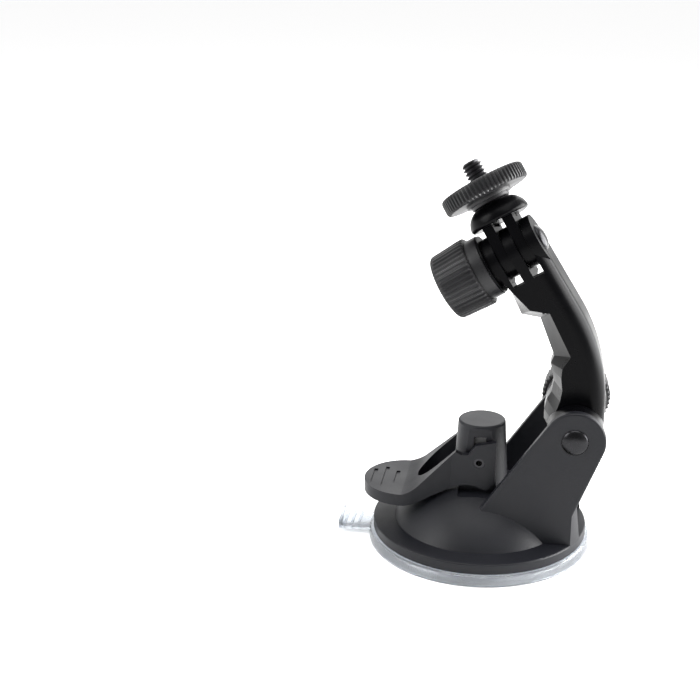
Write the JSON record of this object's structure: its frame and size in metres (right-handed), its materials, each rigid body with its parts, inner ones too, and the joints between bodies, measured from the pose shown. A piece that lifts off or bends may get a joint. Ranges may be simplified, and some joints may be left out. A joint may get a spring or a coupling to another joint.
{
  "type": "windscreen camera mount",
  "caption": "Lever-locked suction cup with a yoke, a curved hollow arm, two knob-clamped pivots and a tilting threaded stud with a locking thumbwheel.",
  "frame": {"origin": "on the suction cup's axis, in the plane that the cup's lip seals against", "axes": "+Z away from the glass along the cup's axis; +X towards the yoke and arm, with the lever and pull tab on -X; the base pivot lies along Y with its knob on +Y"},
  "size_m": [0.0878, 0.073, 0.1259],
  "materials": {
    "housing_plastic": "charcoal moulded plastic, fine matt texture",
    "arm_plastic": "black moulded nylon, satin",
    "knob_plastic": "black moulded plastic, satin, ribbed",
    "clear_vinyl": "clear soft vinyl",
    "black_steel": "blackened steel",
    "bright_steel": "zinc-plated steel"
  },
  "bodies": {
    "housing": {"cup_housing": "housing_plastic", "suction_pad": "clear_vinyl", "base_bolt": "black_steel", "barrel_washer_near": "knob_plastic", "barrel_washer_far": "knob_plastic", "release_spring": "bright_steel"},
    "stem": {"pull_stem": "housing_plastic", "pad_insert": "housing_plastic", "stem_screw": "bright_steel", "lever_pin": "bright_steel"},
    "lever": {"lever": "housing_plastic"},
    "base_washer": {"base_knob_washer": "black_steel"},
    "base_knob": {"base_knob": "knob_plastic", "base_nut": "bright_steel"},
    "arm": {"arm": "arm_plastic", "upper_bolt": "black_steel"},
    "upper_washer": {"upper_knob_washer": "black_steel"},
    "upper_knob": {"upper_knob": "knob_plastic", "upper_nut": "bright_steel"},
    "head": {"mount_head": "arm_plastic", "camera_stud": "black_steel"},
    "thumbwheel": {"thumbwheel": "knob_plastic"}
  },
  "joints": [
    {"name": "stem_pull", "type": "slide", "parent": "housing", "child": "stem", "axis": [0, 0, 1], "range_m": [-0.003, 0], "deforming": ["release_spring", "suction_pad"]},
    {"name": "lever_turn", "type": "hinge", "parent": "stem", "child": "lever", "pos_m": [0, 0, 0.0299], "axis": [0, 1, 0], "range_deg": [0, 75]},
    {"name": "arm_pivot", "type": "hinge", "parent": "housing", "child": "arm", "pos_m": [0.0299, 0, 0.0426], "axis": [0, 1, 0], "range_deg": [-20, 90]},
    {"name": "base_knob_travel", "type": "slide", "parent": "housing", "child": "base_washer", "axis": [0, 1, 0], "range_m": [0, 0.0021]},
    {"name": "base_knob_turn", "type": "hinge", "parent": "base_washer", "child": "base_knob", "pos_m": [0.0299, 0.0225, 0.0426], "axis": [0, 1, 0], "range_deg": [0, 720]},
    {"name": "upper_knob_travel", "type": "slide", "parent": "arm", "child": "upper_washer", "axis": [-0.848, 0, -0.5299], "range_m": [0, 0.0021]},
    {"name": "upper_knob_turn", "type": "hinge", "parent": "upper_washer", "child": "upper_knob", "pos_m": [-0.00273, 0, 0.09129], "axis": [-0.848, 0, -0.5299], "range_deg": [0, 720]},
    {"name": "head_tilt", "type": "hinge", "parent": "arm", "child": "head", "pos_m": [0.0088, 0, 0.0985], "axis": [0.848, 0, 0.5299], "range_deg": [-70, 100]},
    {"name": "thumbwheel_turn", "type": "hinge", "parent": "head", "child": "thumbwheel", "pos_m": [-0.00223, 0.00577, 0.11615], "axis": [-0.5106, 0.2672, 0.8172], "continuous": true}
  ],
  "couplings": [
    {"joint": "stem_pull", "follows": "lever_turn", "m_per_rad": -0.0022918},
    {"joint": "base_knob_travel", "follows": "base_knob_turn", "m_per_rad": 0.00015915},
    {"joint": "upper_knob_travel", "follows": "upper_knob_turn", "m_per_rad": 0.00015915}
  ]
}
